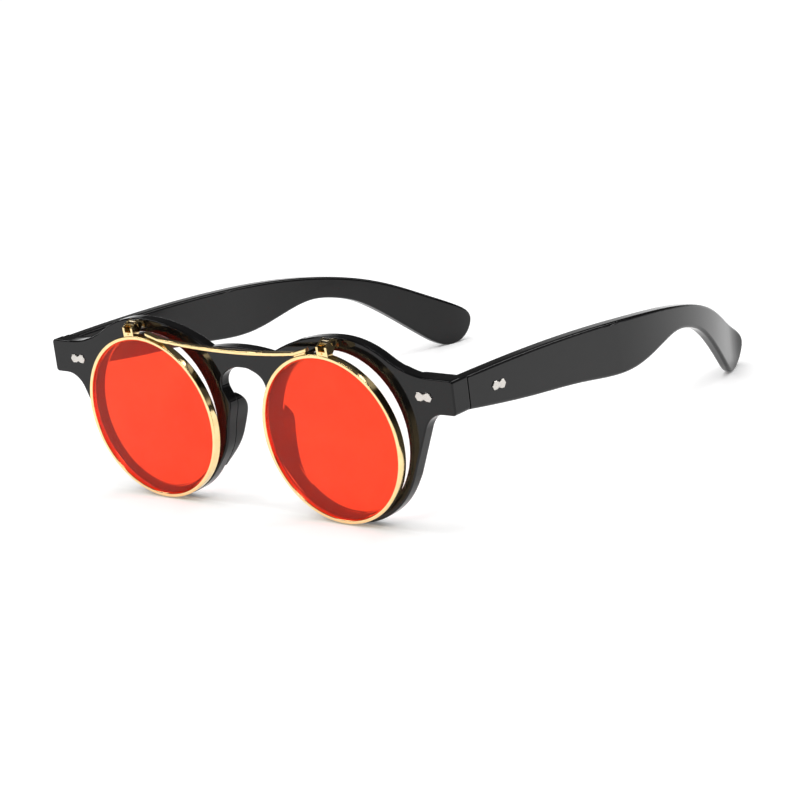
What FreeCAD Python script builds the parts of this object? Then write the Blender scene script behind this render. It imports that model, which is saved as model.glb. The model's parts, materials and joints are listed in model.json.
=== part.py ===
"""Flip up sunglasses: a black front with clear lenses, a hinged pair of red lenses and two folding temples.

Millimetres, +Z up, X across (right is +X), the wearer behind the front at +Y.
Pieces are built with the front's face at y = 0 and the floor at z = 0, then centred along Y.
"""
import FreeCAD
import Part
import math
import os
from FreeCAD import Placement, Rotation, Vector

# Front frame
OPENING_DIAMETER = 44.2
OPENING_GAP = 23.1
RIM_WIDTH = 2.45
BROW_WIDTH = 3.7
BROW_PEAK_OFFSET = 1.9
BROW_DROP = 6.4
NOTCH_SPACING = 22.6
NOTCH_RADIUS = 0.8
BRIDGE_CROWN = 1.05
BRIDGE_HEIGHT = 5.8
KEYHOLE_WIDTH = 16.0
KEYHOLE_DROP = 10.0
NECK_WIDTH = 12.1
END_REACH = 14.1
END_RISE = 7.85
END_HEIGHT = 9.3
END_FLAT = 7.0
END_CORNER = 1.0
END_FILLET = 6.8
FRONT_THICKNESS = 3.3
END_DEPTH = 6.2
END_BACK_LENGTH = 12.0
END_RAMP = 6.0
END_LEDGE = 0.4
FRONT_EDGE = 0.45
BACK_EDGE = 0.4
OPENING_EDGE = 0.3
RIM_LEAVE_ANGLE = math.radians(-23.0)
RIM_NASAL_ANGLE = math.radians(-140.0)
BROW_TURN_SHARE = 0.52
FLARE_SHARES = ((0.34, 0.60), (0.112, 0.24))
KEYHOLE_SIDE_SHARES = ((0.144, 0.915), (0.557, 0.766), (0.866, 0.66), (1.0, 0.51))
KEYHOLE_TOP_SHARES = ((0.93, 0.322), (0.70, 0.146), (0.36, 0.034))

# Clear lenses
LENS_GROOVE = 0.6
LENS_GROOVE_WIDTH = 1.2
LENS_PLACE_SHARE = 0.66
CLEAR_LENS_THICKNESS = 1.8
CLEAR_LENS_SAG = 0.9
LENS_FIT = 0.05
LENS_EDGE = 0.25

# Nose pads
PAD_LENGTH = 21.0
PAD_WIDTH = 3.0
PAD_DEPTH = 4.4
PAD_RISE = 1.4
PAD_INSET = 0.4
PAD_EDGE = 0.45
PAD_SHARES = ((0.0, 0.16), (0.09, 0.62), (0.25, 1.0), (0.43, 0.94), (0.67, 0.64), (0.86, 0.33), (1.0, 0.16))

# Rivets
RIVET_LENGTH = 5.5
RIVET_HEIGHT = 2.3
RIVET_PROUD = 0.3
RIVET_BEVEL = 0.12
RIVET_PIN_DIAMETER = 1.0
RIVET_PIN_SPACING = 2.6
RIVET_FIT = 0.02
FRONT_RIVET_INSET = 9.7
FRONT_RIVET_RISE = 4.35
TEMPLE_RIVET_INSET = 11.6
RIVET_SHARES = ((1.0, 0.0), (0.72, 1.0), (0.34, 1.0), (0.0, 0.6))

# Temple hinges
HINGE_PIN_INBOARD = 1.6
HINGE_PIN_BEHIND = 2.3
BARREL_DIAMETER = 2.6
BARREL_HEIGHT = 1.7
BARREL_GAP = 0.1
LEAF_THICKNESS = 0.6
LEAF_LENGTH = 6.3
TEMPLE_LEAF_LENGTH = 12.0
TEMPLE_LEAF_THICKNESS = 1.0
TEMPLE_LEAF_PROUD = 0.3
TEMPLE_LEAF_FIT = 0.04
SCREW_DIAMETER = 1.2
SCREW_HEAD_DIAMETER = 1.9
SCREW_HEAD_HEIGHT = 0.5
SCREW_SLOT = 0.3
SCREW_FIT = 0.02
RUNNING_FIT = 0.05

# Temples
TEMPLE_GAP = 0.15
TEMPLE_LENGTH = 150.4
TEMPLE_THICKNESS = 4.0
TEMPLE_TIP_THICKNESS = 2.6
TEMPLE_STRAIGHT = 63.7
TEMPLE_TIP_INWARD = 19.7
TEMPLE_EDGE = 0.8
TEMPLE_SLOPE_SHARE = 0.10
TEMPLE_OUTLINE_SHARES = (
    (0.220, 0.965), (0.423, 0.906), (0.636, 0.790), (0.729, 0.702), (0.816, 0.577), (0.902, 0.406),
    (0.960, 0.284), (0.993, 0.162), (0.979, 0.057), (0.935, -0.004), (0.877, 0.113), (0.789, 0.384),
    (0.736, 0.514), (0.679, 0.594), (0.630, 0.626), (0.576, 0.609), (0.509, 0.564), (0.463, 0.548),
    (0.316, 0.612), (0.173, 0.679),
)
TEMPLE_BEND_SHARES = ((0.25, 0.07), (0.475, 0.252), (0.65, 0.48), (0.82, 0.775), (0.907, 0.93), (1.0, 1.0))
TEMPLE_TAPER_SHARE = 0.475

# Flip-up rims and lenses
FLIP_TILT = math.radians(3.6)
FLIP_CLEARANCE = 0.3
FLIP_FLOOR_GAP = 0.4
FLIP_INSET = 1.1
FLIP_RIM_OVERLAP = 1.2
FLIP_RIM_WIDTH = 1.0
FLIP_RIM_DEPTH = 2.3
FLIP_RIM_EDGE = 0.25
FLIP_GROOVE = 0.5
FLIP_GROOVE_WIDTH = 0.9
FLIP_LENS_THICKNESS = 1.5
FLIP_LENS_SAG = 0.5

# Flip-up hinges
FLIP_HINGE_OFFSET = 2.5
FLIP_HINGE_BELOW_TOP = 0.8
FLIP_HINGE_STAND_OFF = 2.6
FLIP_BARREL_DIAMETER = 2.4
FLIP_PIN_DIAMETER = 0.9
FLIP_PIN_HEAD_DIAMETER = 1.3
FLIP_PIN_HEAD = 0.15
FLIP_PIN_FIT = 0.01
FLIP_KNUCKLE_WIDTH = 2.1
FLIP_SIDE_GAP = 0.08
FLIP_EAR_THICKNESS = 0.7
FLIP_LUG_RISE = 2.2
FLIP_SLOT_RISE = 0.9
FLIP_LUG_MARGIN = 0.1
FLIP_LUG_DOT_DIAMETER = 0.5
FLIP_LUG_DOT_DEPTH = 0.4
FLIP_PLATE_THICKNESS = 0.5
FLIP_PLATE_WIDTH = 3.2
FLIP_PLATE_HEIGHT = 1.9
FLIP_PEG_DIAMETER = 1.2
FLIP_PEG_LENGTH = 2.2

# Bridge bar
BAR_THICKNESS = 1.0
BAR_DEPTH = 1.5
BAR_EDGE = 0.25
BAR_RIM_GAP = 0.35
BAR_SAG = 1.3
BAR_KINK_OFFSET = 8.1
BAR_END_OFFSET = 3.4
BAR_END_RISE = 1.4
BLOCK_INSET = 0.6
BLOCK_LENGTH = 4.0

# How cuts run over, and how faces are told apart by their normals
CUT_OVERRUN = 2.0
FACING_SHARE = 0.5
UPRIGHT_SHARE = 0.01

# Places worked out from the sizes above
OPENING_RADIUS = OPENING_DIAMETER / 2
OPENING_X = (OPENING_GAP + OPENING_DIAMETER) / 2
OPENING_Z = RIM_WIDTH + OPENING_RADIUS
RIM_RADIUS = OPENING_RADIUS + RIM_WIDTH
HALF_WIDTH = OPENING_X + RIM_RADIUS + END_REACH
BROW_TOP = OPENING_Z + OPENING_RADIUS + BROW_WIDTH
END_BOTTOM = OPENING_Z + END_RISE
END_TOP = END_BOTTOM + END_HEIGHT
LENS_Y = LENS_PLACE_SHARE * FRONT_THICKNESS
RIVET_Z = END_BOTTOM + FRONT_RIVET_RISE
RIVET_X = HALF_WIDTH - FRONT_RIVET_INSET
HINGE_X = HALF_WIDTH - TEMPLE_THICKNESS - HINGE_PIN_INBOARD
HINGE_Y = END_DEPTH + HINGE_PIN_BEHIND
HINGE_Z = RIVET_Z
TEMPLE_START = END_DEPTH + TEMPLE_GAP
TEMPLE_SLOPE = math.atan(TEMPLE_SLOPE_SHARE)
FLIP_RADIUS = OPENING_RADIUS + FLIP_RIM_OVERLAP
FLIP_X = OPENING_X - FLIP_INSET
FLIP_Y = -(FLIP_RADIUS * math.sin(FLIP_TILT) + FLIP_RIM_DEPTH * math.cos(FLIP_TILT) + FLIP_CLEARANCE)
FLIP_Z = FLIP_FLOOR_GAP + FLIP_RADIUS * math.cos(FLIP_TILT)
FLIP_HINGE_X = FLIP_X + FLIP_HINGE_OFFSET
FLIP_HINGE_Y = -FLIP_HINGE_STAND_OFF
FLIP_HINGE_Z = BROW_TOP - FLIP_HINGE_BELOW_TOP
FLIP_LUG_WIDTH = FLIP_KNUCKLE_WIDTH + 2 * (FLIP_SIDE_GAP + FLIP_EAR_THICKNESS)
FLIP_PLACE = Placement(Vector(0, FLIP_Y, FLIP_Z), Rotation(Vector(1, 0, 0), math.degrees(FLIP_TILT)))

X_AXIS = Vector(1, 0, 0)
Y_AXIS = Vector(0, 1, 0)
Z_AXIS = Vector(0, 0, 1)

pieces = {}


# Helpers

def mirrored(shape):
    """The same shape on the other side of the middle plane."""
    return shape.mirror(Vector(0, 0, 0), X_AXIS)


def add_pair(name, right):
    """Keep a right-hand piece and its mirror image."""
    pieces[name + "_right"] = right
    pieces[name + "_left"] = mirrored(right)


def box(x_range, y_range, z_range):
    """A box between the given pairs of limits."""
    low = Vector(x_range[0], y_range[0], z_range[0])
    return Part.makeBox(x_range[1] - x_range[0], y_range[1] - y_range[0], z_range[1] - z_range[0], low)


def on_circle(centre, radius, angle):
    """Point of a circle that stands in the XZ plane."""
    return Vector(centre[0] + radius * math.cos(angle), 0, centre[1] + radius * math.sin(angle))


def arc(centre, radius, start, end):
    """Arc in the XZ plane from one angle to another."""
    angles = (start, (start + end) / 2, end)
    return Part.Arc(*[on_circle(centre, radius, a) for a in angles]).toShape()


def line(a, b):
    """Straight edge between two points."""
    return Part.LineSegment(a, b).toShape()


def direction(start, end):
    """Angle in the XZ plane from one (x, z) place to another."""
    return math.atan2(end[1] - start[1], end[0] - start[0])


def prism(edges, along):
    """Solid swept from a closed outline."""
    return Part.Face(Part.Wire(Part.__sortEdges__(edges))).extrude(along)


def polygon(points):
    """Edges of a closed outline with straight sides."""
    return [line(a, b) for a, b in zip(points, points[1:] + points[:1])]


def turned(points, centre):
    """Solid of an (r, y) outline turned about an axis along Y; an entry of two points is an arc."""
    edges = []
    here = Vector(*points[0], 0)
    for entry in points[1:] + points[:1]:
        if len(entry) == 4:
            middle, end = Vector(entry[0], entry[1], 0), Vector(entry[2], entry[3], 0)
            edges.append(Part.Arc(here, middle, end).toShape())
        else:
            end = Vector(*entry, 0)
            edges.append(line(here, end))
        here = end
    solid = Part.Face(Part.Wire(edges)).revolve(Vector(0, 0, 0), Y_AXIS, 360)
    solid.translate(centre)
    return solid


def edge_normals(solid, edge):
    """Normals of the faces that meet at an edge, at its middle."""
    middle = edge.valueAt((edge.FirstParameter + edge.LastParameter) / 2)
    faces = solid.ancestorsOfType(edge, Part.Face)
    return [face.normalAt(*face.Surface.parameter(middle)) for face in faces]


def touch_angle(point, barrel, radius, side):
    """Angle on a barrel where a line from an outside (y, z) point touches it."""
    away = math.hypot(point[0] - barrel[0], point[1] - barrel[1])
    return direction(barrel, point) + side * math.acos(radius / away)


def barrel_block(low, high, barrel, radius, corners, width):
    """Solid across X round a barrel and two (y, z) points beside it, closed by further corners."""
    facing = 1 if low[0] > barrel[0] else -1
    first = touch_angle(high, barrel, radius, facing)
    last = touch_angle(low, barrel, radius, -facing)
    if facing * (last - first) < 0:
        last += facing * 2 * math.pi
    touch = [Vector(0, barrel[0] + radius * math.cos(a), barrel[1] + radius * math.sin(a))
             for a in (first, (first + last) / 2, last)]
    points = [touch[2]] + [Vector(0, *place) for place in [low] + corners + [high]] + [touch[0]]
    edges = [Part.Arc(*touch).toShape()] + [line(a, b) for a, b in zip(points, points[1:])]
    solid = prism(edges, Vector(width, 0, 0))
    solid.translate(Vector(FLIP_HINGE_X - width / 2, 0, 0))
    return solid


# Front frame

def s_curve(start, end, share):
    """Two tangent arcs from a level start to a level end, in (x, z)."""
    run, drop = end[0] - start[0], start[1] - end[1]
    total = (run ** 2 + drop ** 2) / (2 * drop)
    upper, lower = share * total, (1 - share) * total
    upper_centre, lower_centre = (start[0], start[1] - upper), (end[0], end[1] + lower)
    turn = direction(upper_centre, lower_centre)
    return [
        arc(upper_centre, upper, math.pi / 2, turn),
        arc(lower_centre, lower, turn - math.pi, -math.pi / 2),
    ]


def brow_edges():
    """Top of the right half, from the middle of the bridge out to the end-piece."""
    notch_x = NOTCH_SPACING / 2
    peak = (OPENING_X + BROW_PEAK_OFFSET, BROW_TOP)
    apex = BROW_TOP - BROW_DROP + BRIDGE_CROWN
    bridge_radius = (notch_x ** 2 + BRIDGE_CROWN ** 2) / (2 * BRIDGE_CROWN)
    bridge = (0, apex - bridge_radius)
    inner_run = peak[0] - notch_x
    inner_radius = (inner_run ** 2 + BROW_DROP ** 2) / (2 * BROW_DROP)
    inner = (peak[0], peak[1] - inner_radius)
    far, near = bridge_radius + NOTCH_RADIUS, inner_radius + NOTCH_RADIUS
    apart = math.hypot(inner[0] - bridge[0], inner[1] - bridge[1])
    angle = math.acos((far ** 2 + apart ** 2 - near ** 2) / (2 * far * apart)) + direction(bridge, inner)
    notch_point = on_circle(bridge, far, angle)
    notch = (notch_point.x, notch_point.z)
    end = (HALF_WIDTH - END_FLAT, END_TOP)
    return [
        arc(bridge, bridge_radius, math.pi / 2, angle),
        arc(notch, NOTCH_RADIUS, direction(notch, bridge), direction(notch, inner)),
        arc(inner, inner_radius, direction(inner, notch), math.pi / 2),
    ] + s_curve(peak, end, BROW_TURN_SHARE)


def end_edges():
    """End-piece of the right half, down to where the rim leaves its circle."""
    centre = (OPENING_X, OPENING_Z)
    leave = on_circle(centre, RIM_RADIUS, RIM_LEAVE_ANGLE)
    along = Vector(-math.sin(RIM_LEAVE_ANGLE), 0, math.cos(RIM_LEAVE_ANGLE))
    corner = leave + along * ((END_BOTTOM - leave.z) / along.z)
    half_angle = math.acos(-along.x) / 2
    reach = END_FILLET / math.tan(half_angle)
    bend = (corner.x + reach, END_BOTTOM - END_FILLET)
    bend_end = corner - along * reach
    outer = HALF_WIDTH - END_CORNER
    return [
        line(Vector(HALF_WIDTH - END_FLAT, 0, END_TOP), Vector(outer, 0, END_TOP)),
        arc((outer, END_TOP - END_CORNER), END_CORNER, math.pi / 2, 0),
        line(Vector(HALF_WIDTH, 0, END_TOP - END_CORNER), Vector(HALF_WIDTH, 0, END_BOTTOM + END_CORNER)),
        arc((outer, END_BOTTOM + END_CORNER), END_CORNER, 0, -math.pi / 2),
        line(Vector(outer, 0, END_BOTTOM), Vector(bend[0], 0, END_BOTTOM)),
        arc(bend, END_FILLET, math.pi / 2, direction(bend, (bend_end.x, bend_end.z))),
        line(bend_end, leave),
        arc(centre, RIM_RADIUS, RIM_LEAVE_ANGLE, RIM_NASAL_ANGLE),
    ]


def keyhole_points():
    """Joint with the rim circle, the neck and the top of the keyhole, in (x, z)."""
    joint = on_circle((OPENING_X, OPENING_Z), RIM_RADIUS, RIM_NASAL_ANGLE)
    top = BROW_TOP - BROW_DROP + BRIDGE_CROWN - BRIDGE_HEIGHT
    return joint, Vector(NECK_WIDTH / 2, 0, top - KEYHOLE_DROP), Vector(0, 0, top)


def keyhole_edge():
    """Nasal side of the right half, from the rim circle up to the top of the keyhole."""
    joint, neck, top = keyhole_points()
    flare = [neck + Vector((joint.x - neck.x) * a, 0, (joint.z - neck.z) * b) for a, b in FLARE_SHARES]
    bulge = KEYHOLE_WIDTH / 2 - neck.x
    sides = [Vector(neck.x + bulge * a, 0, top.z - KEYHOLE_DROP * b) for a, b in KEYHOLE_SIDE_SHARES]
    crown = [Vector(KEYHOLE_WIDTH / 2 * a, 0, top.z - KEYHOLE_DROP * b) for a, b in KEYHOLE_TOP_SHARES]
    curve = Part.BSplineCurve()
    start = Vector(math.sin(RIM_NASAL_ANGLE), 0, -math.cos(RIM_NASAL_ANGLE))
    curve.interpolate(Points=[joint] + flare + [neck] + sides + crown + [top],
                      InitialTangent=start, FinalTangent=-X_AXIS)
    return curve.toShape()


def end_back_cut():
    """What is taken off the back, so that only the end-pieces keep their full depth."""
    thick, thin = HALF_WIDTH - END_BACK_LENGTH, HALF_WIDTH - END_BACK_LENGTH - END_RAMP
    ramp = s_curve((-thick, END_DEPTH), (-thin, FRONT_THICKNESS), BROW_TURN_SHARE)
    over = END_DEPTH + CUT_OVERRUN
    edges = ramp + [mirrored(edge) for edge in ramp]
    corners = [(-thick, END_DEPTH), (-thick, over), (thick, over), (thick, END_DEPTH)]
    points = [Vector(x, 0, z) for x, z in corners]
    edges += [line(a, b) for a, b in zip(points, points[1:])]
    edges.append(line(Vector(-thin, 0, FRONT_THICKNESS), Vector(thin, 0, FRONT_THICKNESS)))
    cut = prism(edges, Vector(0, -(BROW_TOP + 2 * CUT_OVERRUN), 0))
    cut.rotate(Vector(0, 0, 0), X_AXIS, -90)
    cut.translate(Vector(0, 0, -CUT_OVERRUN))
    return cut


def outline_edges(solid, y_low, y_high):
    """Edges of the outline between a face across Y and a side face, between two depths."""
    found = []
    for edge in solid.Edges:
        span = edge.BoundBox
        if span.YMin < y_low or span.YMax > y_high:
            continue
        facing = [abs(normal.y) for normal in edge_normals(solid, edge)]
        if min(facing) < FACING_SHARE < max(facing):
            found.append(edge)
    return found


def opening_cut():
    """Tool for one lens opening: rounded at both faces, with a groove for the lens."""
    r, e, t, o = OPENING_RADIUS, OPENING_EDGE, FRONT_THICKNESS, CUT_OVERRUN
    bulge = e * (1 - math.sqrt(0.5))
    half = LENS_GROOVE_WIDTH / 2
    points = [
        (0, -o), (r + e, -o), (r + e, 0), (r + bulge, bulge, r, e),
        (r, LENS_Y - half), (r + LENS_GROOVE, LENS_Y), (r, LENS_Y + half),
        (r, t - e), (r + bulge, t - bulge, r + e, t), (r + e, t + o), (0, t + o),
    ]
    return turned(points, Vector(OPENING_X, 0, OPENING_Z))


def front_outline(depth):
    """Solid of the front's whole outline, from its face back to a depth."""
    half = brow_edges() + end_edges() + [keyhole_edge()]
    return prism(half + [mirrored(edge) for edge in half], Vector(0, depth, 0))


def front_blank():
    """The black front with rounded outline, before openings and holes."""
    blank = front_outline(END_DEPTH).cut(end_back_cut())
    tiny = BACK_EDGE / 100
    blank = blank.makeFillet(FRONT_EDGE, outline_edges(blank, -tiny, tiny))
    blank = blank.makeFillet(BACK_EDGE, outline_edges(blank, FRONT_THICKNESS - tiny, END_DEPTH + tiny))
    reach = HALF_WIDTH + CUT_OVERRUN
    behind = (FRONT_THICKNESS, END_DEPTH + CUT_OVERRUN)
    above = box((-reach, reach), behind, (END_TOP - END_LEDGE, BROW_TOP + CUT_OVERRUN))
    below = box((-reach, reach), behind, (-CUT_OVERRUN, END_BOTTOM))
    return blank.cut([above, below])


# Lenses

def bevelled_lens(radius, groove, groove_width, thickness, sag, centre):
    """Round lens between two spheres, with a bevel that sits in a groove and blunted corners."""
    edge = radius - LENS_FIT
    apex = radius + groove - LENS_FIT
    half, bevel = thickness / 2, groove_width / 2 - LENS_FIT
    reach = half + sag + CUT_OVERRUN
    points = [(0, -reach), (edge, -reach), (edge, -bevel), (apex, 0), (edge, bevel), (edge, reach), (0, reach)]
    sphere = (edge ** 2 + sag ** 2) / (2 * sag)
    front = Part.makeSphere(sphere, centre + Vector(0, sphere - half - sag, 0))
    back = Part.makeSphere(sphere, centre + Vector(0, sphere + half - sag, 0))
    lens = turned(points, centre).common(front).cut(back)
    corners = []
    for rim in lens.Edges:
        span = rim.BoundBox
        if span.XLength > radius and abs(span.Center.y - centre.y) > (bevel + half) / 2:
            corners.append(rim)
    return lens.makeChamfer(LENS_EDGE, corners)


def clear_lens():
    """Fixed lens in the groove of the front."""
    centre = Vector(OPENING_X, LENS_Y, OPENING_Z)
    return bevelled_lens(OPENING_RADIUS, LENS_GROOVE, LENS_GROOVE_WIDTH, CLEAR_LENS_THICKNESS,
                         CLEAR_LENS_SAG, centre)


# Nose pads

def nose_pad():
    """Fin on the back of the nasal rim, flush with its side and deepest near the top."""
    joint, neck, _ = keyhole_points()
    top, low = neck.z + PAD_RISE, neck.z + PAD_RISE - PAD_LENGTH
    base, reach = FRONT_THICKNESS, FRONT_THICKNESS + 2 * PAD_DEPTH
    crest = [Vector(0, base + PAD_DEPTH * deep, top - PAD_LENGTH * down) for down, deep in PAD_SHARES]
    curve = Part.BSplineCurve()
    curve.interpolate(crest)
    foot = [crest[-1], Vector(0, base, low), Vector(0, base, top), crest[0]]
    side = prism([curve.toShape()] + [line(a, b) for a, b in zip(foot, foot[1:])], Vector(OPENING_X, 0, 0))
    corners = [(0, top), (neck.x + PAD_WIDTH, top), (joint.x + PAD_WIDTH, low), (0, low)]
    plan = prism(polygon([Vector(x, 0, z) for x, z in corners]), Vector(0, reach, 0))
    centre = Vector(OPENING_X, 0, OPENING_Z)
    opening = Part.makeCylinder(OPENING_RADIUS + PAD_INSET, reach, centre, Y_AXIS)
    pad = front_outline(reach).common(side).common(plan).cut(opening)
    long_edges = []
    for edge in pad.Edges:
        span = edge.BoundBox
        if span.YMin > base + PAD_EDGE / 2 and span.ZLength > PAD_LENGTH / 8:
            long_edges.append(edge)
    return pad.makeFillet(PAD_EDGE, long_edges)


# Rivets

def rivet(pin_length, fit=0):
    """Double-diamond rivet facing -Y with two pins along +Y; with a fit, the tool for its pin holes."""
    radius = RIVET_PIN_DIAMETER / 2 + fit
    pins = [Part.makeCylinder(radius, pin_length, Vector(side * RIVET_PIN_SPACING / 2, 0, 0), Y_AXIS)
            for side in (-1, 1)]
    if fit:
        return pins[0].fuse(pins[1])
    quarter = [Vector(RIVET_LENGTH / 2 * a, 0, RIVET_HEIGHT / 2 * b) for a, b in RIVET_SHARES]
    upper = quarter + [Vector(-p.x, 0, p.z) for p in reversed(quarter[:-1])]
    points = upper + [Vector(p.x, 0, -p.z) for p in reversed(upper[1:-1])]
    head = prism(polygon(points), Vector(0, -RIVET_PROUD, 0))
    front = [edge for edge in head.Edges if edge.BoundBox.YMax < -RIVET_PROUD / 2]
    head = head.makeChamfer(RIVET_BEVEL, front)
    return head.fuse(pins)


def front_rivet_place():
    """Rivet on the face of the right end-piece."""
    return Placement(Vector(RIVET_X, 0, RIVET_Z), Rotation())


def temple_rivet_place():
    """Rivet on the outer face of the right temple, along the temple's slope."""
    z = RIVET_Z - TEMPLE_RIVET_INSET * math.tan(TEMPLE_SLOPE)
    sloped = Rotation(X_AXIS, -math.degrees(TEMPLE_SLOPE)).multiply(Rotation(Z_AXIS, 90))
    return Placement(Vector(HALF_WIDTH, TEMPLE_START + TEMPLE_RIVET_INSET, z), sloped)


def placed(shape, placement):
    """Copy of a shape moved to a place."""
    copy = shape.copy()
    copy.Placement = placement.multiply(copy.Placement)
    return copy


# Temple hinges

BARREL_RADIUS = BARREL_DIAMETER / 2
BARREL_STEP = BARREL_HEIGHT + BARREL_GAP
STACK_HALF = BARREL_HEIGHT / 2 + BARREL_STEP


def barrel_range(level):
    """Height limits of a barrel; level 0 is the middle one."""
    middle = HINGE_Z + level * BARREL_STEP
    return middle - BARREL_HEIGHT / 2, middle + BARREL_HEIGHT / 2


def barrel(level):
    """One barrel about the screw, without its bore."""
    low, high = barrel_range(level)
    return Part.makeCylinder(BARREL_RADIUS, high - low, Vector(HINGE_X, HINGE_Y, low))


def screw_bore(fit):
    """Tool for the bore of the barrels."""
    length = 2 * STACK_HALF + 2 * CUT_OVERRUN
    base = Vector(HINGE_X, HINGE_Y, HINGE_Z - length / 2)
    return Part.makeCylinder(SCREW_DIAMETER / 2 + fit, length, base)


def front_hinge_leaf():
    """Plate behind the end-piece with the upper and lower barrels."""
    x_inner = HINGE_X - LEAF_LENGTH
    plate_back = END_DEPTH + LEAF_THICKNESS
    leaf = box((x_inner, HINGE_X), (END_DEPTH, plate_back), (HINGE_Z - STACK_HALF, HINGE_Z + STACK_HALF))
    for level in (-1, 1):
        arm = box((HINGE_X - BARREL_RADIUS, HINGE_X), (END_DEPTH, HINGE_Y), barrel_range(level))
        leaf = leaf.fuse([arm, barrel(level)])
    leaf = leaf.cut(screw_bore(SCREW_FIT))
    return leaf.cut(placed(rivet(plate_back + CUT_OVERRUN, RIVET_FIT), front_rivet_place()))


def temple_leaf_plate(fit):
    """Plate let into the inner face of the temple; with a fit, the tool for its recess."""
    inner = HALF_WIDTH - TEMPLE_THICKNESS - TEMPLE_LEAF_PROUD
    start = HINGE_Y + BARREL_RADIUS + RUNNING_FIT + BARREL_GAP
    return box((inner - fit, inner + TEMPLE_LEAF_THICKNESS + fit),
               (start - fit, start + TEMPLE_LEAF_LENGTH + fit),
               (HINGE_Z - STACK_HALF - fit, HINGE_Z + STACK_HALF + fit))


def temple_hinge_leaf():
    """Plate in the temple with the middle barrel."""
    plate = temple_leaf_plate(0)
    reach = plate.BoundBox
    low, high = barrel_range(0)
    outer = HALF_WIDTH - TEMPLE_THICKNESS - TEMPLE_LEAF_FIT
    arm = box((HINGE_X, outer), (HINGE_Y, reach.YMin + BARREL_RADIUS), (low, high))
    leaf = plate.fuse([arm, barrel(0)])
    leaf = leaf.cut(screw_bore(RUNNING_FIT))
    return leaf.cut(placed(rivet(TEMPLE_THICKNESS + CUT_OVERRUN, RIVET_FIT), temple_rivet_place()))


def hinge_screw():
    """Slotted screw through the three barrels, head on top."""
    low, high = HINGE_Z - STACK_HALF, HINGE_Z + STACK_HALF
    base = Vector(HINGE_X, HINGE_Y, low)
    shank = Part.makeCylinder(SCREW_DIAMETER / 2, high - low, base)
    head = Part.makeCylinder(SCREW_HEAD_DIAMETER / 2, SCREW_HEAD_HEIGHT, Vector(HINGE_X, HINGE_Y, high))
    head = head.makeFillet(SCREW_HEAD_HEIGHT / 2, [e for e in head.Edges if e.BoundBox.ZMin > high])
    top = high + SCREW_HEAD_HEIGHT
    slot = box((HINGE_X - SCREW_SLOT / 2, HINGE_X + SCREW_SLOT / 2),
               (HINGE_Y - SCREW_HEAD_DIAMETER, HINGE_Y + SCREW_HEAD_DIAMETER),
               (top - SCREW_HEAD_HEIGHT / 2, top + CUT_OVERRUN))
    return shank.fuse(head).cut(slot)


# Temples

def temple_side():
    """Side outline of the temple as a solid across X."""
    def at(along, up):
        return Vector(0, TEMPLE_START + TEMPLE_LENGTH * along, END_TOP * up)

    top, bottom = Vector(0, TEMPLE_START, END_TOP - END_LEDGE), Vector(0, TEMPLE_START, END_BOTTOM)
    curve = Part.BSplineCurve()
    curve.interpolate([top] + [at(*share) for share in TEMPLE_OUTLINE_SHARES] + [bottom])
    return prism([curve.toShape(), line(bottom, top)], Vector(HALF_WIDTH + CUT_OVERRUN, 0, 0))


def temple_plan():
    """Strip the temple takes up seen from above: straight, then bending in behind the ear."""
    bend_start = TEMPLE_START + TEMPLE_STRAIGHT
    bend_length = TEMPLE_LENGTH - TEMPLE_STRAIGHT
    slimming = TEMPLE_THICKNESS - TEMPLE_TIP_THICKNESS
    outer, inner = [Vector(HALF_WIDTH, bend_start, 0)], [Vector(HALF_WIDTH - TEMPLE_THICKNESS, bend_start, 0)]
    for along, inward in TEMPLE_BEND_SHARES:
        taper = max(0, (along - TEMPLE_TAPER_SHARE) / (1 - TEMPLE_TAPER_SHARE))
        x, y = HALF_WIDTH - TEMPLE_TIP_INWARD * inward, bend_start + bend_length * along
        outer.append(Vector(x, y, 0))
        inner.append(Vector(x - TEMPLE_THICKNESS + slimming * taper, y, 0))
    edges, ends = [], []
    for side in (outer, inner):
        curve = Part.BSplineCurve()
        curve.interpolate(side)
        lead = side[0] - Vector(0, TEMPLE_STRAIGHT + CUT_OVERRUN, 0)
        past = side[-1] + Vector(*curve.tangent(curve.LastParameter)[0]) * CUT_OVERRUN
        edges += [line(lead, side[0]), curve.toShape(), line(side[-1], past)]
        ends.append((lead, past))
    edges += [line(ends[0][i], ends[1][i]) for i in (0, 1)]
    strip = prism(edges, Vector(0, 0, END_TOP + 2 * CUT_OVERRUN))
    strip.translate(Vector(0, 0, -CUT_OVERRUN))
    return strip


def temple():
    """Right temple with rounded edges, a recess for its leaf and holes for the rivet."""
    blank = temple_side().common(temple_plan())
    long_edges = []
    for edge in blank.Edges:
        upright = [abs(normal.z) < UPRIGHT_SHARE for normal in edge_normals(blank, edge)]
        if edge.BoundBox.YMax > TEMPLE_START + TEMPLE_EDGE and upright.count(True) == 1:
            long_edges.append(edge)
    blank = blank.makeFillet(TEMPLE_EDGE, long_edges)
    below = box((0, HALF_WIDTH), (0, TEMPLE_START + TEMPLE_LENGTH + CUT_OVERRUN), (-END_TOP, 0))
    blank = blank.cut([below, temple_leaf_plate(TEMPLE_LEAF_FIT)])
    return blank.cut(placed(rivet(TEMPLE_THICKNESS + CUT_OVERRUN, RIVET_FIT), temple_rivet_place()))


# Flip-up, in its own upright frame: front plane at y = 0, rim centres at z = 0

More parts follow.
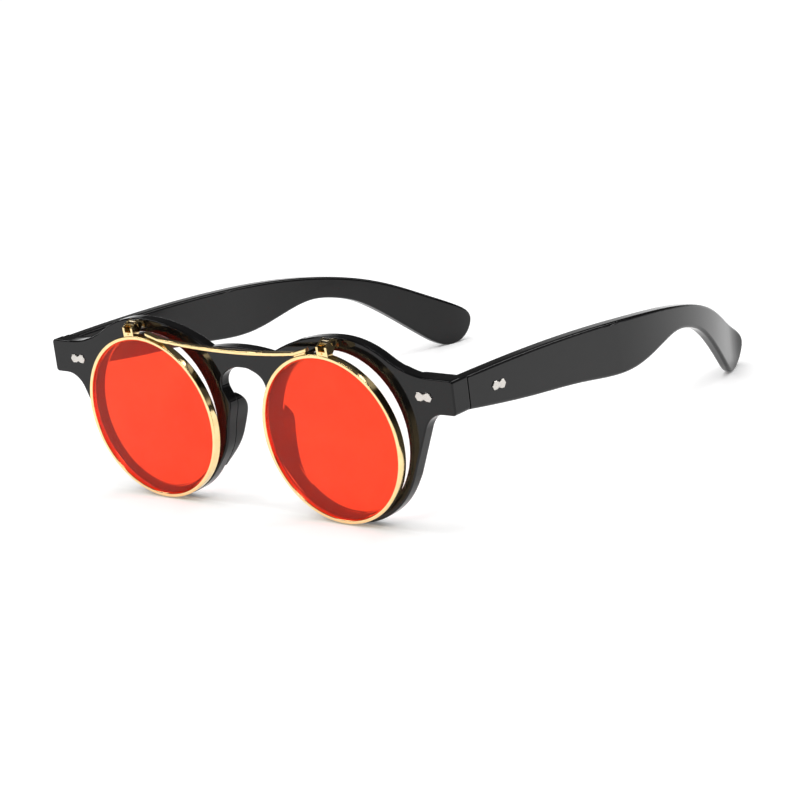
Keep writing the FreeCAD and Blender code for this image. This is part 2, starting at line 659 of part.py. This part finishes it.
def flip_rim():
    """Eye-wire with a groove inside."""
    outer, inner = FLIP_RADIUS, FLIP_RADIUS - FLIP_RIM_WIDTH
    middle, half = FLIP_RIM_DEPTH / 2, FLIP_GROOVE_WIDTH / 2
    points = [
        (inner, 0), (outer, 0), (outer, FLIP_RIM_DEPTH), (inner, FLIP_RIM_DEPTH),
        (inner, middle + half), (inner + FLIP_GROOVE, middle), (inner, middle - half),
    ]
    rim = turned(points, Vector(FLIP_X, 0, 0))
    corners = []
    for edge in rim.Edges:
        span = edge.BoundBox
        at_face = span.YMax < FLIP_RIM_EDGE / 2 or span.YMin > FLIP_RIM_DEPTH - FLIP_RIM_EDGE / 2
        if at_face and span.XLength > inner:
            corners.append(edge)
    return rim.makeFillet(FLIP_RIM_EDGE, corners)


def tinted_lens():
    """Red lens in the groove of the eye-wire."""
    centre = Vector(FLIP_X, FLIP_RIM_DEPTH / 2, 0)
    return bevelled_lens(FLIP_RADIUS - FLIP_RIM_WIDTH, FLIP_GROOVE, FLIP_GROOVE_WIDTH, FLIP_LENS_THICKNESS,
                         FLIP_LENS_SAG, centre)


def rim_disc():
    """Everything inside the outer surface of the eye-wire."""
    start = Vector(FLIP_X, -CUT_OVERRUN, 0)
    return Part.makeCylinder(FLIP_RADIUS, FLIP_RIM_DEPTH + 2 * CUT_OVERRUN, start, Y_AXIS)


def flip_axis():
    """Hinge axis seen from the flip-up's own frame, in (y, z)."""
    place = FLIP_PLACE.inverse().multVec(Vector(0, FLIP_HINGE_Y, FLIP_HINGE_Z))
    return place.y, place.z


def flip_lug():
    """Lug brazed on the eye-wire, with two ears round the pin."""
    axis = flip_axis()
    front, back = FLIP_LUG_MARGIN, FLIP_RIM_DEPTH - FLIP_LUG_MARGIN
    side = FLIP_HINGE_OFFSET + FLIP_LUG_WIDTH / 2
    foot = math.sqrt(FLIP_RADIUS ** 2 - side ** 2) - FLIP_LUG_MARGIN
    shoulder = FLIP_RADIUS + FLIP_LUG_RISE
    radius = FLIP_BARREL_DIAMETER / 2
    lug = barrel_block((back, FLIP_RADIUS), (front, shoulder), axis, radius,
                       [(back, foot), (front, foot)], FLIP_LUG_WIDTH)
    gap = FLIP_KNUCKLE_WIDTH / 2 + FLIP_SIDE_GAP
    slot = box((FLIP_HINGE_X - gap, FLIP_HINGE_X + gap), (-CUT_OVERRUN, axis[0] + 2 * radius),
               (FLIP_RADIUS + FLIP_SLOT_RISE, axis[1] + 2 * radius))
    clear = Part.makeCylinder(radius + FLIP_SIDE_GAP, 2 * gap, Vector(FLIP_HINGE_X - gap, *axis), X_AXIS)
    bore = Part.makeCylinder(FLIP_PIN_DIAMETER / 2 + FLIP_PIN_FIT, 2 * FLIP_LUG_WIDTH,
                             Vector(FLIP_HINGE_X - FLIP_LUG_WIDTH, *axis), X_AXIS)
    dot = Part.makeCylinder(FLIP_LUG_DOT_DIAMETER / 2, FLIP_LUG_DOT_DEPTH,
                            Vector(FLIP_HINGE_X, front, FLIP_RADIUS + FLIP_SLOT_RISE / 2), Y_AXIS)
    return lug.cut([slot, clear, bore, dot, rim_disc()])


def flip_hinge_pin():
    """Pin through ears and knuckle with a low head at each end."""
    axis = flip_axis()
    start = FLIP_HINGE_X - FLIP_LUG_WIDTH / 2
    pin = Part.makeCylinder(FLIP_PIN_DIAMETER / 2, FLIP_LUG_WIDTH, Vector(start, *axis), X_AXIS)
    heads = [Part.makeCylinder(FLIP_PIN_HEAD_DIAMETER / 2, FLIP_PIN_HEAD, Vector(x, *axis), X_AXIS)
             for x in (start - FLIP_PIN_HEAD, start + FLIP_LUG_WIDTH)]
    return pin.fuse(heads)


def bar_levels():
    """Height of the bar's middle line at its end, its kink and its centre."""
    kink = math.sqrt(FLIP_RADIUS ** 2 - BAR_KINK_OFFSET ** 2) + BAR_RIM_GAP + BAR_THICKNESS / 2
    return kink + BAR_END_RISE, kink, kink - BAR_SAG


def bridge_bar():
    """Bar from rim to rim: a low sagging arc with raised straight ends."""
    end_z, kink_z, middle_z = bar_levels()
    end_x, kink_x = FLIP_X - BAR_END_OFFSET, FLIP_X - BAR_KINK_OFFSET
    half = BAR_THICKNESS / 2
    sides = []
    for up in (half, -half):
        sides.append([Vector(x, 0, z + up) for x, z in ((end_x, end_z), (kink_x, kink_z), (0, middle_z))])
    edges = []
    for end, kink, middle in sides:
        other_kink, other_end = Vector(-kink.x, 0, kink.z), Vector(-end.x, 0, end.z)
        edges += [line(end, kink), Part.Arc(kink, middle, other_kink).toShape(), line(other_kink, other_end)]
    upper, lower = sides
    for side in (1, -1):
        edges.append(line(Vector(side * upper[0].x, 0, upper[0].z), Vector(side * lower[0].x, 0, lower[0].z)))
    bar = prism(edges, Vector(0, BAR_DEPTH, 0))
    bar.translate(Vector(0, (FLIP_RIM_DEPTH - BAR_DEPTH) / 2, 0))
    return bar.makeFillet(BAR_EDGE, [e for e in bar.Edges if e.BoundBox.YLength < BAR_EDGE])


def bar_block():
    """Block brazed between the bar's raised end and the eye-wire."""
    end_z, kink_z, _ = bar_levels()
    end_x, kink_x = FLIP_X - BAR_END_OFFSET, FLIP_X - BAR_KINK_OFFSET
    slope = (end_z - kink_z) / (end_x - kink_x)
    start = end_x - BLOCK_INSET
    corners = [(x, kink_z - BAR_THICKNESS / 2 + slope * (x - kink_x)) for x in (start, start - BLOCK_LENGTH)]
    foot = kink_z - BAR_RIM_GAP - BAR_THICKNESS
    corners += [(start - BLOCK_LENGTH, foot), (start, foot)]
    block = prism(polygon([Vector(x, 0, z) for x, z in corners]), Vector(0, BAR_DEPTH - 2 * BAR_EDGE, 0))
    block.translate(Vector(0, (FLIP_RIM_DEPTH - BAR_DEPTH) / 2 + BAR_EDGE, 0))
    return block.cut(rim_disc())


def flip_peg_start():
    """Where the peg of the flip-up hinge enters the brow."""
    return Vector(FLIP_HINGE_X, 0, BROW_TOP - FRONT_EDGE - FLIP_PLATE_HEIGHT / 2)


def flip_hinge_base():
    """Plate and peg in the brow that carry the middle knuckle."""
    axis = (FLIP_HINGE_Y, FLIP_HINGE_Z)
    plate_top = BROW_TOP - FRONT_EDGE
    plate_low = plate_top - FLIP_PLATE_HEIGHT
    half, front = FLIP_PLATE_WIDTH / 2, -FLIP_PLATE_THICKNESS
    plate = box((FLIP_HINGE_X - half, FLIP_HINGE_X + half), (front, 0), (plate_low, plate_top))
    radius = FLIP_BARREL_DIAMETER / 2
    knuckle = barrel_block((front, (plate_low + plate_top) / 2), (front, plate_top),
                           axis, radius, [], FLIP_KNUCKLE_WIDTH)
    peg = Part.makeCylinder(FLIP_PEG_DIAMETER / 2, FLIP_PEG_LENGTH, flip_peg_start(), Y_AXIS)
    bore = Part.makeCylinder(FLIP_PIN_DIAMETER / 2 + RUNNING_FIT, 2 * FLIP_LUG_WIDTH,
                             Vector(FLIP_HINGE_X - FLIP_LUG_WIDTH, *axis), X_AXIS)
    return plate.fuse([knuckle, peg]).cut(bore)


def front_frame():
    """The black front with its openings and the holes for rivets and pegs."""
    rivet_holes = placed(rivet(END_DEPTH + CUT_OVERRUN, RIVET_FIT), front_rivet_place())
    peg_hole = Part.makeCylinder(FLIP_PEG_DIAMETER / 2 + RIVET_FIT, FLIP_PEG_LENGTH + RIVET_FIT,
                                 flip_peg_start(), Y_AXIS)
    cuts = [opening_cut(), rivet_holes, peg_hole]
    return front_blank().cut(cuts + [mirrored(cut) for cut in cuts])


# Assembly

pieces["front_frame"] = front_frame()
add_pair("nose_pad", nose_pad())
add_pair("clear_lens", clear_lens())
add_pair("front_rivet", placed(rivet(END_DEPTH + LEAF_THICKNESS), front_rivet_place()))
add_pair("front_hinge_leaf", front_hinge_leaf())
add_pair("hinge_screw", hinge_screw())
add_pair("flip_hinge_base", flip_hinge_base())
add_pair("temple", temple())
add_pair("temple_hinge_leaf", temple_hinge_leaf())
add_pair("temple_rivet", placed(rivet(TEMPLE_THICKNESS), temple_rivet_place()))
add_pair("flip_rim", placed(flip_rim(), FLIP_PLACE))
add_pair("tinted_lens", placed(tinted_lens(), FLIP_PLACE))
add_pair("flip_lug", placed(flip_lug(), FLIP_PLACE))
add_pair("flip_hinge_pin", placed(flip_hinge_pin(), FLIP_PLACE))
pieces["bridge_bar"] = placed(bridge_bar(), FLIP_PLACE)
add_pair("bar_block", placed(bar_block(), FLIP_PLACE))

whole = Part.makeCompound(list(pieces.values())).optimalBoundingBox(False, False)
shift = -(whole.YMin + whole.YMax) / 2
os.makedirs("parts", exist_ok=True)
for name, shape in pieces.items():
    shape.translate(Vector(0, shift, 0))
    shape.exportStep("parts/" + name + ".step")
    print(name, "valid", shape.isValid(), "solids", len(shape.Solids), "volume %.2f" % shape.Volume)
print("size", round(whole.XLength, 3), round(whole.YLength, 3), round(whole.ZLength, 3))
print("lowest", round(whole.ZMin, 4))
print("front face y", round(shift, 4))
print("flip axis y z", round(FLIP_HINGE_Y + shift, 4), round(FLIP_HINGE_Z, 4))
print("temple axis x y", round(HINGE_X, 4), round(HINGE_Y + shift, 4))
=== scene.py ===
"""Flip up sunglasses: finishes, floor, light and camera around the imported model."""

import json
import math

import bpy
from mathutils import Matrix, Vector


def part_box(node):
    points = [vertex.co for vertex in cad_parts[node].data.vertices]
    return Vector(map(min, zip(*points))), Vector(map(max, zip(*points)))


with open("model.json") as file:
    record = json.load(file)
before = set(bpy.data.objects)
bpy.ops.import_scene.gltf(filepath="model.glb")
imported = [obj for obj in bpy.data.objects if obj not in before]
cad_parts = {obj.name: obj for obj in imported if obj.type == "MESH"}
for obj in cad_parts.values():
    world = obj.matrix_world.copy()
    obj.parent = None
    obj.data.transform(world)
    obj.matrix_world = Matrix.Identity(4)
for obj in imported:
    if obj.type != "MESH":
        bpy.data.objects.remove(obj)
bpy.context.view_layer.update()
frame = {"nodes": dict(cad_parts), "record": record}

# Camera, in degrees and metres, turned about a point behind the front's face
PIVOT_BEHIND_FACE = 0.020
PIVOT_HEIGHT = 0.020
CAMERA_AZIMUTH = 43.99
CAMERA_ELEVATION = 15.94
CAMERA_ROLL = 7.93
CAMERA_DISTANCE = 0.759
CAMERA_PAN = 2.04
CAMERA_TILT = 0.31
CAMERA_CLIP_START = 0.01
LENS_MM = 126.1

# Light levels, where 1 shows white as white; heights are sines of the angle above the horizon
AMBIENT_LOW = 0.10
AMBIENT_HIGH = 1.75
AMBIENT_HEIGHT = 0.35
HORIZON_LEVEL = 1.0
CEILING_LEVEL = 0.05
HORIZON_HEIGHT = 0.02
CEILING_HEIGHT = 0.22
ZENITH_HEIGHT = 1.0

# Lamps: place from the camera's pivot and size in metres, power in watts
LAMPS = {
    "top": {"offset": (0.0, -0.05, 0.85), "size": (0.30, 0.05), "watts": 0.6},
    "key": {"offset": (-0.60, -0.25, 0.62), "size": (0.60, 0.06), "watts": 1.0},
    "fill": {"offset": (0.27, -0.60, 0.63), "size": (0.30, 0.12), "watts": 1.0},
    "back": {"offset": (0.25, 0.70, 0.62), "size": (0.15, 0.40), "watts": 0.8},
}

# Floor, with the light that it adds where it is seen
FLOOR_COLOUR = (0.90, 0.90, 0.90)
FLOOR_LIFT = 0.16
FLOOR_SIZE = 8.0

# What the finishes share: the part of a noise that is used, its octaves and the depth of the relief in metres
NOISE_LOW = 0.3
NOISE_HIGH = 0.7
TONE_DETAIL = 3
ROUGH_DETAIL = 5
BUMP_DETAIL = 2
BUMP_HEIGHT = 0.00004
SHARP_ANGLE = 32.0

# Finishes: tones, roughness and relief, each with its noise's scale per metre, and sockets with a plain value
LOOKS = {
    "frame_black": {
        "tones": ((0.0035, 0.0035, 0.0038), (0.0055, 0.0053, 0.0056)), "tone_scale": 260,
        "roughness": (0.05, 0.11), "rough_scale": 700, "stretch": (1, 0.12, 1),
        "bump_scale": 420, "bump_strength": 0.012,
        "sockets": {"IOR": 1.49, "Specular IOR Level": 0.30},
    },
    "metal_gold": {
        "tones": ((0.93, 0.68, 0.32), (0.97, 0.75, 0.40)), "tone_scale": 500,
        "roughness": (0.06, 0.15), "rough_scale": 1400, "stretch": (1, 1, 0.2),
        "bump_scale": 900, "bump_strength": 0.05,
        "sockets": {"Metallic": 1.0},
    },
    # Darkened copy of the rims' gold for the hinge knuckles and pins: painted shade and painted dark
    # reflection
    "gold_painted_shade": {
        "tones": ((0.20, 0.17, 0.12), (0.30, 0.25, 0.17)), "tone_scale": 700,
        "roughness": (0.10, 0.22), "rough_scale": 1400, "stretch": (1, 1, 0.2),
        "bump_scale": 900, "bump_strength": 0.05,
        "sockets": {"Metallic": 1.0},
    },
    "metal_silver": {
        "tones": ((0.58, 0.55, 0.52), (0.65, 0.62, 0.58)), "tone_scale": 600,
        "roughness": (0.20, 0.34), "rough_scale": 1800, "stretch": (0.3, 1, 1),
        "bump_scale": 1200, "bump_strength": 0.03,
        "sockets": {"Metallic": 1.0},
    },
    "lens_clear": {
        "tones": ((0.97, 0.985, 0.98), (0.99, 0.995, 0.99)), "tone_scale": 120,
        "roughness": (0.0, 0.012), "rough_scale": 300, "stretch": (1, 1, 1),
        "bump_scale": 200, "bump_strength": 0.01,
        "sockets": {"IOR": 1.40, "Transmission Weight": 1.0},
    },
    "lens_red": {
        "tones": ((1.0, 0.062, 0.017), (1.0, 0.074, 0.022)), "tone_scale": 90,
        "roughness": (0.0, 0.015), "rough_scale": 300, "stretch": (1, 1, 1),
        "bump_scale": 200, "bump_strength": 0.01,
        "sockets": {"IOR": 1.22, "Transmission Weight": 0.84},
    },
}

# The knuckles and pins of the flip-up are gold like its rims; their finish is a darker copy of that gold,
# painted shade and painted dark reflection
PAINTED_SHADE_NODES = ("flip_hinge_base_", "flip_hinge_pin_")

pivot = Vector((0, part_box("front_frame")[0][1] + PIVOT_BEHIND_FACE, PIVOT_HEIGHT))


# Node helpers

def node_tree(material):
    """The material's empty node tree with its output, as (nodes, links, output)."""
    material.use_nodes = True
    nodes, links = material.node_tree.nodes, material.node_tree.links
    nodes.clear()
    return nodes, links, nodes.new("ShaderNodeOutputMaterial")


def noise(nodes, links, scale, detail, stretch=(1, 1, 1)):
    """Noise in the object's own coordinates; a stretch makes streaks."""
    coordinates = nodes.new("ShaderNodeTexCoord")
    mapping = nodes.new("ShaderNodeMapping")
    mapping.inputs["Scale"].default_value = stretch
    texture = nodes.new("ShaderNodeTexNoise")
    texture.inputs["Scale"].default_value = scale
    texture.inputs["Detail"].default_value = detail
    links.new(coordinates.outputs["Object"], mapping.inputs["Vector"])
    links.new(mapping.outputs["Vector"], texture.inputs["Vector"])
    return texture.outputs["Fac"]


def ramp_value(nodes, links, value, low, high, from_low, from_high):
    """Maps a value from its own range to the range from low to high."""
    ramp = nodes.new("ShaderNodeMapRange")
    ramp.inputs["From Min"].default_value = from_low
    ramp.inputs["From Max"].default_value = from_high
    ramp.inputs["To Min"].default_value = low
    ramp.inputs["To Max"].default_value = high
    links.new(value, ramp.inputs["Value"])
    return ramp.outputs["Result"]


def two_tone(nodes, links, value, first, second):
    """Colour that goes from first to second with the noise."""
    ramp = nodes.new("ShaderNodeValToRGB")
    ramp.color_ramp.elements[0].position = NOISE_LOW
    ramp.color_ramp.elements[1].position = NOISE_HIGH
    ramp.color_ramp.elements[0].color = (*first, 1)
    ramp.color_ramp.elements[1].color = (*second, 1)
    links.new(value, ramp.inputs["Fac"])
    return ramp.outputs["Color"]


def bump(nodes, links, value, strength):
    """Normal from a noise."""
    node = nodes.new("ShaderNodeBump")
    node.inputs["Strength"].default_value = strength
    node.inputs["Distance"].default_value = BUMP_HEIGHT
    links.new(value, node.inputs["Height"])
    return node.outputs["Normal"]


def rays_of(nodes, links, *kinds):
    """1 for rays of any of the kinds, else 0."""
    path = nodes.new("ShaderNodeLightPath")
    value = path.outputs[kinds[0]]
    for kind in kinds[1:]:
        either = nodes.new("ShaderNodeMath")
        either.operation = "MAXIMUM"
        links.new(value, either.inputs[0])
        links.new(path.outputs[kind], either.inputs[1])
        value = either.outputs["Value"]
    return value


# Finishes of the nodes

def finish(name, tones, tone_scale, roughness, rough_scale, stretch, bump_scale, bump_strength, sockets):
    """Surface whose colour, roughness and relief vary a little; glass lets the lamps' light pass."""
    material = bpy.data.materials.new(name)
    nodes, links, output = node_tree(material)
    shader = nodes.new("ShaderNodeBsdfPrincipled")
    for socket, value in sockets.items():
        shader.inputs[socket].default_value = value
    tone = noise(nodes, links, tone_scale, TONE_DETAIL)
    links.new(two_tone(nodes, links, tone, *tones), shader.inputs["Base Color"])
    rough = noise(nodes, links, rough_scale, ROUGH_DETAIL, stretch)
    rough = ramp_value(nodes, links, rough, *roughness, NOISE_LOW, NOISE_HIGH)
    links.new(rough, shader.inputs["Roughness"])
    relief = noise(nodes, links, bump_scale, BUMP_DETAIL)
    links.new(bump(nodes, links, relief, bump_strength), shader.inputs["Normal"])
    surface = shader.outputs["BSDF"]
    if "Transmission Weight" in sockets:
        clear = nodes.new("ShaderNodeBsdfTransparent")
        mix = nodes.new("ShaderNodeMixShader")
        links.new(rays_of(nodes, links, "Is Shadow Ray"), mix.inputs["Fac"])
        links.new(surface, mix.inputs[1])
        links.new(clear.outputs["BSDF"], mix.inputs[2])
        surface = mix.outputs["Shader"]
    links.new(surface, output.inputs["Surface"])
    return material


finishes = {name: finish(name, **look) for name, look in LOOKS.items()}
slot_of = {part["node"]: part["material_slot"] for part in frame["record"]["subparts"]}
for node, piece in frame["nodes"].items():
    # The hinge knuckles and pins get the darkened copy of the gold, which is painted shade
    name = "gold_painted_shade" if node.startswith(PAINTED_SHADE_NODES) else slot_of[node]
    piece.data.materials.clear()
    piece.data.materials.append(finishes[name])
    piece.data.shade_smooth()
    piece.data.set_sharp_from_angle(angle=math.radians(SHARP_ANGLE))


# Floor, world and lamps

def make_floor():
    """White floor that keeps the shadow of the glasses."""
    bpy.ops.mesh.primitive_plane_add(size=FLOOR_SIZE, location=(0, 0, 0))
    floor = bpy.context.object
    floor.name = "floor"
    material = bpy.data.materials.new("floor_white")
    nodes, links, output = node_tree(material)
    matt = nodes.new("ShaderNodeBsdfDiffuse")
    matt.inputs["Color"].default_value = (*FLOOR_COLOUR, 1)
    lift = nodes.new("ShaderNodeEmission")
    level = nodes.new("ShaderNodeMath")
    level.operation = "MULTIPLY"
    level.inputs[1].default_value = FLOOR_LIFT
    seen = rays_of(nodes, links, "Is Camera Ray", "Is Transmission Ray", "Is Glossy Ray")
    links.new(seen, level.inputs[0])
    links.new(level.outputs["Value"], lift.inputs["Strength"])
    both = nodes.new("ShaderNodeAddShader")
    links.new(matt.outputs["BSDF"], both.inputs[0])
    links.new(lift.outputs["Emission"], both.inputs[1])
    links.new(both.outputs["Shader"], output.inputs["Surface"])
    floor.data.materials.append(material)


def make_world():
    """Soft light, more of it from above; it looks white, but reflections show it dark overhead."""
    world = bpy.data.worlds.new("studio")
    bpy.context.scene.world = world
    world.use_nodes = True
    nodes, links = world.node_tree.nodes, world.node_tree.links
    nodes.clear()
    output = nodes.new("ShaderNodeOutputWorld")
    background = nodes.new("ShaderNodeBackground")
    background.inputs["Color"].default_value = (1, 1, 1, 1)
    coordinates = nodes.new("ShaderNodeTexCoord")
    axes = nodes.new("ShaderNodeSeparateXYZ")
    links.new(coordinates.outputs["Generated"], axes.inputs["Vector"])
    height = axes.outputs["Z"]
    ambient = ramp_value(nodes, links, height, AMBIENT_LOW, AMBIENT_HIGH, AMBIENT_HEIGHT, ZENITH_HEIGHT)
    mirrored = ramp_value(nodes, links, height, HORIZON_LEVEL, CEILING_LEVEL, HORIZON_HEIGHT, CEILING_HEIGHT)
    by_bounce = nodes.new("ShaderNodeMapRange")
    links.new(ambient, by_bounce.inputs["To Min"])
    links.new(mirrored, by_bounce.inputs["To Max"])
    links.new(rays_of(nodes, links, "Is Glossy Ray"), by_bounce.inputs["Value"])
    level = nodes.new("ShaderNodeMapRange")
    level.inputs["To Max"].default_value = HORIZON_LEVEL
    links.new(by_bounce.outputs["Result"], level.inputs["To Min"])
    links.new(rays_of(nodes, links, "Is Camera Ray", "Is Transmission Ray"), level.inputs["Value"])
    links.new(level.outputs["Result"], background.inputs["Strength"])
    links.new(background.outputs["Background"], output.inputs["Surface"])


def make_lamp(name, offset, size, watts):
    """Soft rectangular lamp at a place from the pivot, turned to it."""
    data = bpy.data.lights.new(name, "AREA")
    data.shape = "RECTANGLE"
    data.size, data.size_y = size
    data.energy = watts
    lamp = bpy.data.objects.new(name, data)
    bpy.context.collection.objects.link(lamp)
    lamp.location = pivot + Vector(offset)
    lamp.rotation_euler = (-Vector(offset)).to_track_quat("-Z", "Y").to_euler()


make_floor()
make_world()
for name, lamp in LAMPS.items():
    make_lamp(name, **lamp)


# Camera

def make_camera():
    """Camera on the three-quarter side, rolled, then panned so that the glasses fill the frame."""
    azimuth, elevation = math.radians(CAMERA_AZIMUTH), math.radians(CAMERA_ELEVATION)
    back = Vector((math.sin(azimuth) * math.cos(elevation), -math.cos(azimuth) * math.cos(elevation),
                   math.sin(elevation)))
    right = Vector((math.cos(azimuth), math.sin(azimuth), 0))
    turn = Matrix((right, back.cross(right), back)).transposed()
    turn = turn @ Matrix.Rotation(math.radians(-CAMERA_ROLL), 3, "Z")
    turn = turn @ Matrix.Rotation(math.radians(-CAMERA_PAN), 3, "Y")
    turn = turn @ Matrix.Rotation(math.radians(CAMERA_TILT), 3, "X")
    data = bpy.data.cameras.new("camera")
    data.lens = LENS_MM
    data.clip_start = CAMERA_CLIP_START
    camera = bpy.data.objects.new("camera", data)
    bpy.context.collection.objects.link(camera)
    camera.matrix_world = Matrix.Translation(pivot + back * CAMERA_DISTANCE) @ turn.to_4x4()
    bpy.context.scene.camera = camera


make_camera()
bpy.context.scene.view_settings.view_transform = "Standard"
